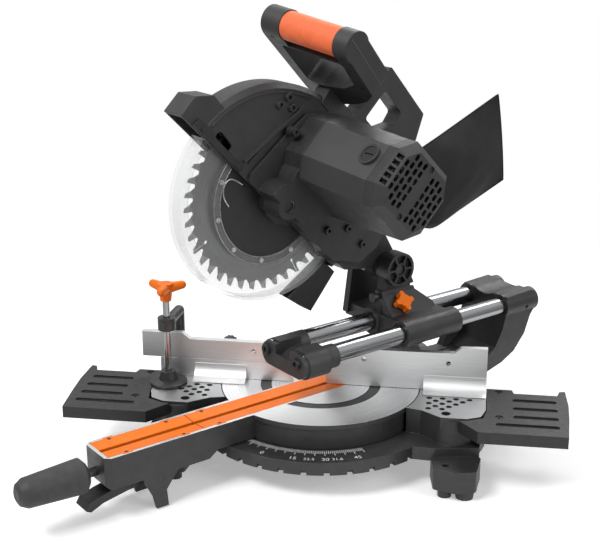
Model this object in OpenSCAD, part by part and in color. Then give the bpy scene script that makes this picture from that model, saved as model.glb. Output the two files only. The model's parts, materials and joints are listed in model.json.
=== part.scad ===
// Sliding compound mitre saw with a 254 mm blade, drawn with its arm turned 45 degrees to the left,
// its head raised and its carriage part way along the rails.
// World frame: X runs right along the fence, Y runs to the rear, Z is up from the bench.
// Arm frame: x is across the arm, y runs along the rails to the rear.
// Head frame: a runs forward from the chop pivot and b runs up, with the head drawn lowered.

/* [Base] */
// height of the table top above the bench
table_h = 95; // [90:1:105]
// radius of the turning table
turntable_r = 144.3; // [140:0.1:148]
// outer radius of the scale rim
rim_r = 181; // [176:1:186]
// top of the scale rim above the bench
rim_top = 58; // [56:1:60]
// half of the width of the base between its outer table edges
base_half = 240; // [238:1:246]
// distance of a bench bolt hole from the middle, across
bolt_x = 188; // [182:1:194]
// distance of a bench bolt hole from the middle, front to back
bolt_y = 137; // [132:1:142]
// diameter of a bench bolt hole
bolt_d = 9; // [7:0.5:10]

/* [Fence and wings] */
// height of the right fence above the table
fence_h = 57; // [50:1:60]
// thickness of the fence
fence_t = 10; // [8:0.5:12]
// height of the fixed lower left fence
low_fence_h = 28.5; // [24:0.5:32]
// height of the upper edge of the sliding fence above the table
slide_fence_h = 59; // [54:1:62]
// outer end of a wing from the middle of the saw
wing_end = 354; // [340:1:370]
// thickness of a wing
wing_t = 17; // [12:1:20]

/* [Arm] */
// half of the width of the table arm
arm_half = 31; // [30:0.5:34]
// distance of the arm's tip from the table's middle
arm_tip = 369; // [360:1:380]
// half of the width of the kerf plate
kerf_half = 26; // [24:0.5:27]
// length of the mitre lock grip
grip_len = 89; // [70:1:100]
// radius of the mitre lock grip at its big end
grip_r = 24; // [20:0.5:25]

/* [Rails and carriage] */
// radius of a rail
rail_r = 13; // [11:0.5:13.5]
// height of the rails above the table
rail_z = 91; // [89:0.5:92]
// place of the left rail across the arm
rail_left = 28; // [27:0.5:30]
// place of the right rail across the arm
rail_right = 96; // [92:1:100]
// front end of the rail cap along the arm
cap_front = -114; // [-120:1:-110]
// front end of the carriage along the arm
carriage_front = 68; // [64:1:72]
// length of the carriage
carriage_len = 103; // [97:1:107]
// front face of the rear housing along the arm
housing_front = 266; // [262:1:270]

/* [Head] */
// place of the chop pivot along the arm
pivot_y = 105; // [103:1:107]
// height of the chop pivot above the table
pivot_z = 168; // [167:1:170]
// angle of the head above its lowered pose
raised = 45; // [45:1:46]
// radius of the blade
blade_r = 127; // [124:0.5:127.5]
// radius of the upper guard
guard_r = 157; // [156:0.5:159]
// radius of the lower guard
low_guard_r = 140; // [134:0.5:142]
// outer end of the motor across the head
motor_end = 200; // [196:1:208]
// half of the height of the motor body
motor_half = 52; // [51:0.5:54]
// radius of the grip sleeve on the handle
sleeve_r = 19.5; // [17.5:0.5:20]

/* [Hidden] */
$fn = 64;
cut = 0.1;
touch = 0.02;
run_fit = 0.05;
slide_gap = 0.5;
miter_rest = -45;
scale_zero = 20.5;
charcoal = [0.16, 0.16, 0.17];
black = [0.08, 0.08, 0.085];
silver = [0.78, 0.79, 0.8];
steel = [0.6, 0.61, 0.63];
orange = [1, 0.45, 0.05];
clear = [0.85, 0.9, 0.95, 0.4];
floor_t = 8;
rim_low = rim_top - 19;
foot_top = 45;
foot_low = 14;
skirt_r = turntable_r - 3.3;
plate_t = 7;
arm_low = 60;
lock_z = table_h - 28;
lock_rod_r = 6;
lever_u = -288;
lever_z = 41;
bevel_r = 34;
bevel_face = 150;
bevel_pin_r = 10;
rear_face = bevel_face + 10;
carriage_rear = carriage_front + carriage_len;
rail_front = cap_front + 4;
rail_back = housing_front + 58;
pivot_r = 8;
bush_len = 13;
ear_in = 30;
ear_out = 44;
boss_out = 52;
left_ear_in = -29;
left_ear_out = -40;
blade_a = 233;
blade_b = -53;
drive_len = 97;
drive_dir = 114.44;
motor_a = blade_a + drive_len * cos(drive_dir);
motor_b = blade_b + drive_len * sin(drive_dir);
gear_m = 1;
pinion_teeth = 18;
idler_teeth = 76;
spindle_teeth = 24;
idler_len = gear_m * (spindle_teeth + idler_teeth) / 2;
idler_a = blade_a + idler_len * cos(drive_dir);
idler_b = blade_b + idler_len * sin(drive_dir);
gear_v = 28;
gear_w = 14;
case_v = 18.5;
motor_v = 58;
cap_v = motor_end - 28;
bearing_out = 13;
spindle_r = 8;
nose_r = 15.5;
edge_b = -58;
arm_out = 38;
flange_out = 25;
rim_bevel = 7;
motor_flare = 20;
wing_screw_x = base_half + 18;
insert_t = 3.8;
kerf_slot = 3.6;
kerf_dip = 2;
clamp_x = -221.5;
clamp_y = -28;
knob_v = 62;
knob_z = 122;
fence_bolt_places = [-195, -170, 170, 220];
bolt_row = 24;
lock_x = -140;
lock_h = 44.5;

// frames and round outlines

module on_arm() rotate([0, 0, miter_rest]) children();
module on_arm_table() on_arm() translate([0, 0, table_h]) children();
module on_head() on_arm_table() translate([0, pivot_y, pivot_z]) rotate([-raised, 0, 0]) children();
module arm_slab(v0, v1) translate([v0, 0, 0]) rotate([90, 0, 90]) linear_extrude(v1 - v0) children();
module head_slab(v0, v1) translate([v1, 0, 0]) rotate([90, 0, -90]) linear_extrude(v1 - v0) children();
module across(v0, v1, r, r2) translate([v0, 0, 0]) rotate([0, 90, 0])
    cylinder(h = v1 - v0, r1 = r, r2 = is_undef(r2) ? r : r2);
module along(u0, u1, r, r2) translate([0, u0, 0]) rotate([-90, 0, 0])
    cylinder(h = u1 - u0, r1 = r, r2 = is_undef(r2) ? r : r2);
module at(a, b) translate([0, -a, b]) children();
module both_sides() {
    children();
    mirror([1, 0, 0]) children();
}

function unit(p) = p / norm(p);
function short_turn(t) = t > 180 ? t - 360 : t < -180 ? t + 360 : t;
function corner_arc(p, q, s, r, n = 5) =
    let (d1 = unit(p - q), d2 = unit(s - q), half = acos(d1 * d2) / 2)
    let (c = q + unit(d1 + d2) * r / sin(half))
    let (e1 = q + d1 * r / tan(half) - c, e2 = q + d2 * r / tan(half) - c)
    let (t1 = atan2(e1.y, e1.x), turn = short_turn(atan2(e2.y, e2.x) - t1))
    [for (i = [0:n]) c + r * [cos(t1 + turn * i / n), sin(t1 + turn * i / n)]];
function soft(pts, r) = let (n = len(pts))
    [for (i = [0:n - 1]) each corner_arc(pts[(i + n - 1) % n], pts[i], pts[(i + 1) % n], r)];

module bar_2d(p, q, w) {
    d = q - p;
    translate(p) rotate(atan2(d.y, d.x)) translate([0, -w / 2]) square([norm(d), w]);
}

module slot_2d(p, q, w) {
    translate(p) circle(d = w);
    translate(q) circle(d = w);
    bar_2d(p, q, w);
}

// base

module side_table() translate([0, 0, rim_low]) linear_extrude(table_h - rim_low)
    polygon([[110, -62], [150, -72], [178, -93], [214, -93], [233, -83], [base_half, -60],
        [base_half, 60], [110, 60]]);

module base_foot(cone_top) {
    translate([0, 0, foot_low]) linear_extrude(foot_top - foot_low)
        polygon(soft([[bolt_x - 22, -bolt_y + 32], [bolt_x + 48, -bolt_y + 32],
            [bolt_x + 42, -bolt_y - 14], [bolt_x + 14, -bolt_y - 22], [bolt_x - 16, -bolt_y - 12]], 6));
    translate([0, 0, rim_low]) linear_extrude(rim_top - rim_low)
        polygon([[90, -60], [110, -110], [bolt_x - 15, -bolt_y + 22], [bolt_x + 45, -bolt_y + 34],
            [base_half - 6, -70], [base_half - 6, -40]]);
    translate([195, -72, foot_top - cut]) cylinder(h = cone_top - foot_top, r1 = 34, r2 = 24);
    translate([bolt_x, -bolt_y, 0]) cylinder(h = foot_low + cut, d = bolt_d + 10);
}

module wing_bracket() translate([base_half - 30, -86, table_h - wing_t - 10])
    cube([64, 98, 9.5]);

module table_holes() for (k = [0:4]) for (i = [0:3]) {
    x = 160 + 9.5 * (k % 2) + 19 * i;
    y = -fillet_r - 7 - 9 * k;
    if (x < min(230, 236 + (y + 12))) translate([x, y, table_h - 3]) cylinder(h = 4, r = 4.2);
}

module base_casting() color(charcoal) difference() {
    union() {
        translate([0, 0, rim_low]) cylinder(h = rim_top - rim_low, r = rim_r);
        both_sides() {
            side_table();
            wing_bracket();
            base_foot(table_h - 5);
            mirror([0, 1, 0]) base_foot(table_h - 25);
        }
    }
    translate([0, 0, rim_low + floor_t]) cylinder(h = table_h, r = skirt_r + 2);
    translate([0, 0, rim_top]) cylinder(h = table_h, r = turntable_r + 1.5);
    translate([0, 0, rim_low - cut]) cylinder(h = 20, r = spindle_r + 0.3);
    translate([-100, 60, rim_top]) cube([200, 200, table_h]);
    for (t = [-60:10:60]) rotate([0, 0, t]) translate([-4, -rim_r - 1, rim_low - cut]) cube([8, 8, 6]);
    both_sides() {
        table_holes();
        translate([185, -79, table_h - 20]) cylinder(h = 21, r = 6.5);
        for (s = [-1, 1]) {
            translate([bolt_x, s * bolt_y, -cut]) cylinder(h = foot_top + 1, d = bolt_d);
            translate([bolt_x + 27, s * (bolt_y + 1), foot_low - cut]) cylinder(h = 8, r = 5);
        }
        for (y = [-80, 6]) translate([wing_screw_x, y, table_h - wing_t - 11]) cylinder(h = 11, r = 3.05);
    }
    for (x = fence_bolt_places) translate([x, bolt_row, table_h - 15]) cylinder(h = 16, r = 3.05);
    translate([clamp_x + 4, 30, table_h - 30]) cylinder(h = 31, r = 8.1);
}

module rubber_feet() color(black) both_sides() for (s = [-1, 1])
    translate([bolt_x + 27, s * (bolt_y + 1), 0]) {
    cylinder(h = foot_low, r1 = 12, r2 = 14);
    translate([0, 0, foot_low - cut]) cylinder(h = 7, r = 4.9);
}

// fence

module fence_plate(y0, y1, pts) translate([0, y1, table_h]) rotate([90, 0, 0]) linear_extrude(y1 - y0)
    polygon(pts);

module fence_foot(x0, x1) translate([x0, fence_t - cut, table_h]) cube([x1 - x0, 28, 8]);

fillet_r = 22;

// hollow curve that leads from the table up to the face of the fence
module fence_fillet(x0, x1) translate([x0, -fillet_r, table_h + slide_gap]) difference() {
    cube([x1 - x0, fillet_r + cut, fillet_r]);
    translate([-1, 0, fillet_r]) across(0, x1 - x0 + 2, fillet_r - 0.6);
}

module right_fence() color(silver) difference() {
    union() {
        fence_fillet(150, base_half);
        fence_plate(0, fence_t, [[8, slide_gap], [base_half, slide_gap], [base_half, fence_h + 10],
            [202, fence_h + 9], [193, fence_h + 1], [30, fence_h], [8, fence_h - 20]]);
        fence_foot(156, 236);
        for (x = [157, 228]) translate([x, fence_t - cut, table_h + slide_gap]) rotate([0, 0, 90])
            rotate([90, 0, 0]) linear_extrude(5) polygon([[0, 0], [26, 0], [0, 40]]);
    }
    for (x = [63, 185]) translate([x, -cut, table_h + 42]) along(0, fence_t + 1, 3.5);
    for (x = fence_bolt_places) translate([x, bolt_row, table_h - cut]) cylinder(h = 9, r = 3.3);
    translate([8, 0, table_h - cut]) rotate([0, 0, -55]) translate([-60, -60, 0]) cube([60, 160, 100]);
}

module left_fence() color(silver) difference() {
    union() {
        fence_fillet(-188, -110);
        fence_plate(0, fence_t, [[-base_half, slide_gap], [-base_half, low_fence_h], [-72, low_fence_h],
            [-42, 7], [-38, slide_gap]]);
        fence_plate(fence_t + 0.6, fence_t + 6, [[-230, 0], [-230, 54], [-108, 54], [-90, low_fence_h],
            [-90, slide_gap], [-146, slide_gap], [-146, 0]]);
        translate([-230, fence_t - cut, table_h + slide_gap]) cube([140, 0.6 + 2 * cut, low_fence_h - 4]);
        translate([-236, fence_t + 5, table_h]) cube([80, 23, 8]);
    }
    fence_plate(fence_t, fence_t + 7,
        [[lock_x - 50, 40], [lock_x - 50, 49], [lock_x + 20, 49], [lock_x + 20, 40]]);
    for (x = fence_bolt_places) translate([x, bolt_row, table_h - cut]) cylinder(h = 9, r = 3.3);
    translate([clamp_x + 4, 30, table_h - cut]) cylinder(h = 9, r = 8.6);
    translate([-40, 0, table_h - cut]) rotate([0, 0, 55]) translate([0, -60, 0]) cube([60, 160, 100]);
}

module sliding_fence() color(silver) difference() {
    fence_plate(0, fence_t, [[-267, low_fence_h + slide_gap], [-82, low_fence_h + slide_gap],
        [-79, low_fence_h + 8], [-79, slide_fence_h], [-195, slide_fence_h], [-206, slide_fence_h + 9],
        [-267, slide_fence_h + 9]]);
    translate([-100, -cut, table_h + 45]) along(0, fence_t + 1, 3.5);
    translate([lock_x, 2, table_h + lock_h]) along(0, fence_t, 3);
}

module fence_knob() color(black) translate([lock_x, 0, table_h + lock_h]) {
    along(3, 30, 2.95);
    difference() {
        along(fence_t + 7, fence_t + 22, 12);
        for (t = [0:30:330]) rotate([0, t, 0]) translate([13.5, 0, 0]) along(fence_t, fence_t + 30, 2.5);
    }
}

module fence_bolts() color(steel) for (x = fence_bolt_places) translate([x, bolt_row, table_h]) {
    translate([0, 0, -13]) cylinder(h = 21.5, r = 3);
    difference() {
        translate([0, 0, 8]) cylinder(h = 6, r = 5.5);
        translate([0, 0, 11]) cylinder(h = 4, r = 2.6, $fn = 6);
    }
}

// wings

module wing() difference() {
    translate([0, 0, table_h - wing_t]) linear_extrude(wing_t) polygon([[base_half + 1, 15],
        [base_half + 37, 15], [base_half + 40, 3], [wing_end - 13, 3], [wing_end - 9, 18],
        [wing_end - 1, 20], [wing_end + 1, -30], [wing_end - 1, -76], [wing_end - 5, -132],
        [229, -132], [203, -100], [215, -98], [236, -87], [base_half + 1, -62]]);
    for (y = [-21, -49, -77, -104])
        translate([0, 0, table_h - 3]) linear_extrude(4)
            slot_2d([y < -100 ? base_half + 18 : base_half + 42, y], [wing_end - 20, y], 10);
    for (y = [-80, 6]) translate([wing_screw_x, y, table_h - wing_t - cut]) {
        cylinder(h = wing_t + 1, r = 3.3);
        translate([0, 0, wing_t - 5]) cylinder(h = 6, r = 5.6);
    }
}

module right_wing() color(black) wing();
module left_wing() color(black) mirror([1, 0, 0]) wing();

module wing_screws() color(steel) both_sides() for (y = [-80, 6]) translate([wing_screw_x, y, table_h - 5]) {
    translate([0, 0, -20]) cylinder(h = 20.5, r = 3);
    difference() {
        cylinder(h = 3.5, r = 5.3);
        translate([0, 0, 1.5]) cylinder(h = 3, r = 2.4, $fn = 6);
    }
}

// work clamp

module clamp_post() color(black) {
    translate([clamp_x + 4, 30, table_h - 28]) cylinder(h = 28 + 92, r = 8);
    translate([clamp_x + 4, 30, table_h + 92]) sphere(r = 8);
    translate([clamp_x + 4, 30, table_h + 92]) rotate([90, 0, -4.8])
        cylinder(h = 46, r = 8);
    translate([clamp_x, clamp_y, table_h + 84]) difference() {
        cylinder(h = 18, r = 13);
        translate([0, 0, -cut]) cylinder(h = 19, r = 5.05);
    }
}

module clamp_rod() translate([clamp_x, clamp_y, table_h]) {
    color(steel) translate([0, 0, 10.5]) cylinder(h = 120, r = 5);
    color(orange) difference() {
        union() {
            translate([0, 0, 128]) cylinder(h = 26, r1 = 8, r2 = 11);
            for (t = [30, 150, 270]) rotate([0, 0, t]) translate([0, 0, 146]) rotate([0, 84, 0])
                cylinder(h = 25, r1 = 8.5, r2 = 6);
            for (t = [30, 150, 270]) rotate([0, 0, t]) translate([0, 0, 146]) rotate([0, 84, 0])
                translate([0, 0, 25]) sphere(r = 6);
        }
        translate([0, 0, 127]) cylinder(h = 2, r = 4);
    }
}

module clamp_pad() color(black) translate([clamp_x, clamp_y, table_h + slide_gap]) difference() {
    union() {
        cylinder(h = 3, r = 27);
        translate([0, 0, 3]) cylinder(h = 3, r1 = 27, r2 = 15);
        translate([0, 0, 6]) cylinder(h = 13, r1 = 14, r2 = 11);
    }
    translate([0, 0, 9.5]) cylinder(h = 11, r = 5.05);
}

// turning table and its arm

module arm_foot() both_sides() arm_slab(arm_half - 5, arm_half)
    polygon([[-318, 52], [-262, 52], [-282, 26], [-280, 2], [-298, 2], [-302, 20]]);

module turntable_body() {
    translate([0, 0, table_h - plate_t]) cylinder(h = plate_t, r = turntable_r);
    difference() {
        translate([0, 0, rim_low + floor_t + slide_gap])
            cylinder(h = table_h - plate_t - rim_low - floor_t - slide_gap + cut, r = skirt_r);
        translate([0, 0, rim_low]) cylinder(h = table_h - plate_t - rim_low, r = skirt_r - 8);
    }
    translate([0, 0, rim_low + floor_t + slide_gap])
        cylinder(h = table_h - plate_t - rim_low - floor_t - slide_gap + cut, r = 30);
    arm_slab(-arm_half, arm_half) polygon([[-arm_tip, table_h], [-arm_tip, 55], [-arm_tip + 5, 50],
        [-214, 50], [-200, arm_low], [-120, arm_low], [-120, table_h]]);
    arm_foot();
    translate([-28, 118, table_h - 32]) cube([56, bevel_face - 118, 30]);
    translate([0, 0, table_h]) along(bevel_face - 12, bevel_face + 9.7, bevel_r);
}

module turntable() color(charcoal) on_arm() difference() {
    turntable_body();
    translate([-kerf_half - 0.3, -arm_tip + 5, table_h - 4]) cube([2 * kerf_half + 0.6, arm_tip + 113, 10]);
    translate([-21, -arm_tip + 5, table_h - 18.5]) cube([42, arm_tip + 108, 20]);
    translate([-arm_half + 5, -arm_tip + 8, 40]) cube([2 * arm_half - 10, 155, 35]);
    translate([-arm_half + 5, -200, 40]) cube([2 * arm_half - 10, 64, 35]);
    for (y = [-336, -249, -192]) both_sides()
        translate([kerf_half - 1, y - 7, table_h - 4]) cube([4, 14, 5]);
    both_sides() translate([arm_half, -arm_tip, 0]) rotate([0, 0, 45])
        translate([-20, -1, 0]) cube([40, 6, 120]);
    both_sides() difference() {
        translate([0, 0, table_h - 0.8]) cylinder(h = 2, r = 88);
        translate([0, 0, table_h - 1]) cylinder(h = 3, r = 72);
        translate([-200, -100, table_h - 2]) cube([200 + kerf_half + 3, 200, 5]);
    }
    translate([0, 0, rim_low]) cylinder(h = table_h, r = spindle_r + run_fit);
    translate([0, 0, lock_z]) along(-arm_tip - 1, -190, lock_rod_r + run_fit);
    translate([0, 0, table_h]) along(bevel_face - 26, bevel_face + 20, bevel_pin_r);
    translate([-40, lever_u, lever_z]) across(0, 80, 3);
    insert_bores(8);
    translate([-15, -arm_tip - 1, 40]) cube([30, 90, 12]);
    rotate([0, 0, -scale_zero]) arm_slab(-4, 4) polygon([[-skirt_r - 2, rim_top], [-skirt_r + 1, rim_top],
        [-skirt_r + 1, rim_top + 12], [-skirt_r - 2, rim_top + 12]]);
}

module insert_bores(depth) for (y = [-336, -249, -192]) for (s = [-1, 1])
    translate([s * (kerf_half - 2.5), y, table_h - depth]) cylinder(h = depth + 1, r = 1.7);

module table_bolt() color(steel) translate([0, 0, rim_low - 6]) {
    cylinder(h = 40, r = spindle_r);
    cylinder(h = 5.9, r = 14, $fn = 6);
}

// two halves with a slot for the blade between them, dished towards the slot
module insert(y0, y1, tabs) difference() {
    union() {
        both_sides() translate([0, y1, table_h]) rotate([90, 0, 0]) linear_extrude(y1 - y0)
            polygon([[kerf_half, 0], [kerf_half, -insert_t], [20, -insert_t],
                [kerf_slot, -insert_t - kerf_dip],
                [kerf_slot, -kerf_dip]]);
        for (y = tabs) both_sides()
            translate([kerf_half - 1, y - 6.5, table_h - insert_t]) cube([3.5, 13, insert_t]);
    }
    for (y = tabs) for (s = [-1, 1]) translate([s * (kerf_half - 2.5), y, table_h - 5]) {
        cylinder(h = 6, r = 1.8);
        translate([0, 0, 3]) cylinder(h = 3, r = 2.9);
    }
}

module front_insert() color(orange) on_arm() insert(-arm_tip + 6, -219, [-336, -249]);
module rear_insert() color(orange) on_arm() insert(-217, 112, [-192]);

module insert_screws() color(black) on_arm() for (y = [-336, -249, -192]) for (s = [-1, 1])
    translate([s * (kerf_half - 2.5), y, table_h - 7.5]) {
        cylinder(h = 6.5, r = 1.65);
        translate([0, 0, 5.6]) cylinder(h = 1.6, r = 2.8);
    }

module lock_rod() color(steel) on_arm() translate([0, 0, lock_z]) along(-arm_tip - 26, -195, lock_rod_r);

module lock_grip() color(black) on_arm() translate([0, -arm_tip - 22, lock_z]) difference() {
    union() {
        along(-grip_len + 12, 0, grip_r - 4, grip_r);
        along(-grip_len + 3, -grip_len + 12, grip_r - 9, grip_r - 4);
        along(-grip_len, -grip_len + 3, grip_r - 15, grip_r - 9);
        along(0, 6, grip_r, grip_r - 7);
    }
    along(-4, 7, lock_rod_r + 0.02);
}

module detent_lever() color(black) on_arm() difference() {
    arm_slab(-14, 14) polygon(soft([[-280, 48], [-280, 36], [-330, 33], [-368, 26], [-386, 18], [-394, 22],
        [-388, 32], [-366, 38], [-330, 46]], 1.5));
    translate([-20, lever_u, lever_z]) across(0, 40, 3 + run_fit);
}

module lever_pin() color(steel) on_arm() translate([-arm_half, lever_u, lever_z]) across(0, 2 * arm_half, 3);

module miter_pointer() color(orange) on_arm() rotate([0, 0, -scale_zero]) arm_slab(-4, 4)
    polygon([[-turntable_r - 1, rim_top + 0.6], [-skirt_r + 1, rim_top + 0.6], [-skirt_r + 1, rim_top + 12],
        [-skirt_r - 1.2, rim_top + 12], [-skirt_r - 1.2, rim_top + 2]]);

// bevel housing and rails

module at_rails() for (v = [rail_left, rail_right]) translate([v, 0, rail_z]) children();

module housing_limb() arm_slab(18, 110) polygon(soft([[housing_front, 76], [housing_front, 108],
    [housing_front + 54, 110], [housing_front + 67, 100], [housing_front + 65, 84], [housing_front + 54, 70],
    [housing_front + 43, 42], [288, 18], [262, 5], [232, -3], [205, -5], [205, 16], [229, 19], [247, 33],
    [housing_front - 6, 56]], 3));

module housing_web() {
    arm_slab(18, 40) polygon([[171, -26], [171, 20], [208, 18], [248, 20], [250, 4], [208, -12], [195, -26]]);
    arm_slab(18, 30) polygon([[206, 6], [236, 54], [housing_front + 4, 70], [housing_front + 4, 40],
        [258, 10], [240, 2]]);
}

module rear_housing() color(charcoal) on_arm_table() difference() {
    union() {
        housing_limb();
        housing_web();
        along(rear_face + 0.3, 172 + cut, bevel_r);
        at_rails() along(housing_front, housing_front + 66, 18);
    }
    at_rails() along(housing_front - cut, rail_back, rail_r);
    along(rear_face, 180, bevel_pin_r + run_fit);
    along(172, 206, 17);
    translate([62, 0, 140]) along(housing_front - 10, housing_front + 90, 37);
    translate([103, housing_front + 42, 86]) across(0, 20, 3);
}

module bevel_bolt() color(steel) on_arm_table() difference() {
    along(bevel_face - 26, 205, bevel_pin_r);
    along(195, 206, 4);
}

module bevel_lever() color(black) on_arm_table() difference() {
    union() {
        along(186, 202, 16);
        translate([0, 194, 0]) rotate([0, -30, 0]) {
            cylinder(h = 54, r1 = 7, r2 = 6);
            translate([0, 0, 54]) sphere(r = 9);
        }
    }
    along(185, 203, bevel_pin_r + run_fit);
}

module rails() color(steel) on_arm_table() at_rails() along(rail_front, rail_back, rail_r);

cap_d = 39;
cap_drop = 5;

module cap_layer(u0, u1, w) translate([0, u1, rail_z - cap_drop]) rotate([90, 0, 0]) linear_extrude(u1 - u0)
    slot_2d([rail_left + 3.5, 0], [rail_right, 0], w);

module rail_cap() color(charcoal) on_arm_table() difference() {
    union() {
        cap_layer(cap_front, cap_front + 9, 34);
        cap_layer(cap_front + 8, cap_front + 44, cap_d);
        for (v = [rail_left + 1, rail_right]) translate([v, 0, rail_z - 2.4])
            along(cap_front + 40, cap_front + 61, rail_r + 3.5);
    }
    at_rails() along(rail_front, cap_front + 70, rail_r);
    arm_slab(rail_left + 18, rail_right - 17)
        polygon([[cap_front - 1, rail_z - 1], [cap_front + 10, rail_z - 6],
        [cap_front + 24, rail_z + 1], [cap_front + 50, rail_z + 5], [cap_front + 50, rail_z + 30],
        [cap_front - 1, rail_z + 30]]);
    at_rails() along(cap_front - 1, rail_front + 1, 4.1);
}

module cap_screws() color(black) on_arm_table() at_rails() {
    along(cap_front, rail_front, 4);
    difference() {
        along(cap_front - 5, cap_front, 7.5);
        along(cap_front - 6, cap_front - 2, 3.4);
    }
}

// carriage

module ear(reach) {
    translate([pivot_y, pivot_z]) circle(r = 25);
    polygon([[pivot_y - 23, pivot_z - 10], [carriage_front + 4, reach], [carriage_rear - 14, reach],
        [pivot_y + 24, pivot_z - 8]]);
}

module boss_spokes() difference() {
    circle(r = 21);
    circle(r = 10);
    for (t = [0:60:300]) rotate(t) translate([0, -1.5]) square([30, 3]);
}

module carriage_body() {
    at_rails() along(carriage_front, carriage_rear, 19.5);
    translate([rail_left, carriage_front + 4, rail_z - 16])
        cube([rail_right - rail_left, carriage_len - 8, 30]);
    arm_slab(ear_in, ear_out) ear(rail_z + 8);
    translate([0, pivot_y, pivot_z]) across(ear_in, boss_out, 25);
    arm_slab(left_ear_out, left_ear_in) ear(rail_z - 4);
    translate([left_ear_out, carriage_front + 10, rail_z - 10])
        cube([rail_left - left_ear_out, carriage_len - 24, 20]);
    translate([0, carriage_rear - 12, 0]) rotate([90, 0, 0]) linear_extrude(carriage_len - 20)
        polygon([[ear_in, rail_z], [ear_in, 138], [ear_out, 138], [ear_out + 2, knob_z + 10],
            [knob_v + 7, rail_z + 16], [rail_right + 13, rail_z + 15], [rail_right + 19, rail_z]]);
}

// slope that runs from the pivot boss down to the rear of the right sleeve
module carriage_slope() arm_slab(ear_in - 1, rail_right + 20)
    polygon([[pivot_y + 26, 141], [pivot_y + 26, 138], [carriage_rear - 8, rail_z + 19],
        [carriage_rear, rail_z + 19],
        [carriage_rear, 141]]);

module carriage() color(charcoal) on_arm_table() difference() {
    carriage_body();
    carriage_slope();
    at_rails() along(carriage_front - 1, carriage_rear + 1, rail_r + 3);
    translate([left_ear_out - 1, pivot_y, pivot_z]) across(0, 120, pivot_r);
    translate([boss_out - 7, pivot_y, pivot_z]) rotate([90, 0, 90]) linear_extrude(10) boss_spokes();
    knob_axis() cylinder(h = 80, r = 4.05);
    translate([ear_in + 7, carriage_front - 16, 130]) along(0, 92, 4);
}

module knob_axis() translate([rail_left, carriage_front + 33, rail_z])
    rotate([0, atan2(knob_v - rail_left, knob_z - rail_z), 0]) translate([0, 0, rail_r + 0.4]) children();

module slide_knob() color(orange) on_arm_table() knob_axis() {
    reach = norm([knob_v - rail_left, knob_z - rail_z]) - rail_r - 3;
    cylinder(h = reach + 2, r = 4);
    translate([0, 0, reach]) linear_extrude(11) {
        circle(r = 10);
        for (t = [0:90:270]) rotate(t) slot_2d([0, 0], [11.5, 0], 8);
    }
}

module rail_bushes() color(steel) on_arm_table() at_rails() for (u = [carriage_front + 1, carriage_rear - 14])
    difference() {
        along(u, u + bush_len, rail_r + 3);
        along(u - 1, u + bush_len + 1, rail_r + run_fit);
    }

module pivot_shaft() color(steel) on_arm_table() translate([left_ear_out - 3, pivot_y, pivot_z]) {
    across(0, boss_out - left_ear_out, pivot_r);
    across(0, 3, pivot_r + 4);
}

module depth_stop() color(steel) on_arm_table() translate([ear_in + 7, 0, 130]) {
    along(carriage_front + 2, carriage_front + 74, 3.95);
    along(carriage_front - 4, carriage_front + 2, 7);
}

spring_turns = 4;
spring_r = 19;
wire_r = 1.8;
spring_pitch = 4.8;
spring_rings = 8;
spring_sides = 6;
function spring_centre(i) = let (t = 360 * i / spring_rings)
    [left_ear_in + 2.3 + spring_pitch * i / spring_rings, spring_r * cos(t), spring_r * sin(t)];
function spring_point(i, j) = let (t = 360 * i / spring_rings, s = 360 * j / spring_sides)
    spring_centre(i) + wire_r * [sin(s), cos(s) * cos(t), cos(s) * sin(t)];
spring_last = spring_turns * spring_rings;
spring_points = [for (i = [0:spring_last]) for (j = [0:spring_sides - 1]) spring_point(i, j)];
function ring_index(i, j) = i * spring_sides + j % spring_sides;
spring_faces = concat([[for (j = [0:spring_sides - 1]) j]],
    [for (i = [0:spring_last - 1]) for (j = [0:spring_sides - 1])
        [ring_index(i, j), ring_index(i + 1, j), ring_index(i + 1, j + 1), ring_index(i, j + 1)]],
    [[for (j = [spring_sides - 1:-1:0]) spring_last * spring_sides + j]]);
echo(spring_self_gap = min([for (j = [0:spring_sides - 1]) for (k = [0:spring_sides - 1])
    norm(spring_point(0, j) - spring_point(spring_rings, k))]));

module pivot_spring() color(steel) on_arm_table() translate([0, pivot_y, pivot_z])
    polyhedron(points = spring_points, faces = spring_faces);

// gear case and arm

module flange_outline() {
    polygon(soft([[92, -50], [100, edge_b], [286, edge_b], [291, -48], [284, 14], [276, 62], [246, 90],
        [150, 90], [118, 70], [78, 58], [58, 34], [50, 6], [60, -32]], 4));
    translate([blade_a, blade_b]) circle(r = nose_r);
}

module arm_outline() polygon(soft([[92, -50], [100, edge_b], [210, edge_b], [190, 60], [150, 78], [112, 70],
    [78, 58], [58, 34], [50, 6], [60, -32]], 5));

// drive housing: the foot of the motor, the idler and the nose round the spindle
module drive_outline() {
    motor_foot_outline();
    translate([idler_a, idler_b]) circle(r = 45);
    translate([blade_a, blade_b]) circle(r = nose_r + 2);
    intersection() {
        translate([blade_a, blade_b]) circle(r = 33);
        translate([blade_a - 60, edge_b]) square(120);
    }
}

// lobe of the nose that hangs below the straight edge of the guard
module nose_lobe() head_slab(8.7, case_v + cut) polygon(soft([[252, edge_b - 0.2], [244, -67], [226, -73],
    [208, -72], [191, -64], [182, edge_b - 0.2]], 2));

module drive_pocket() {
    translate([blade_a, blade_b]) circle(r = gear_m * spindle_teeth / 2 + 1.5);
    translate([idler_a, idler_b]) circle(r = gear_m * idler_teeth / 2 + 1.5);
    translate([motor_a, motor_b]) circle(r = gear_m * pinion_teeth / 2 + 1.5);
}

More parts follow.
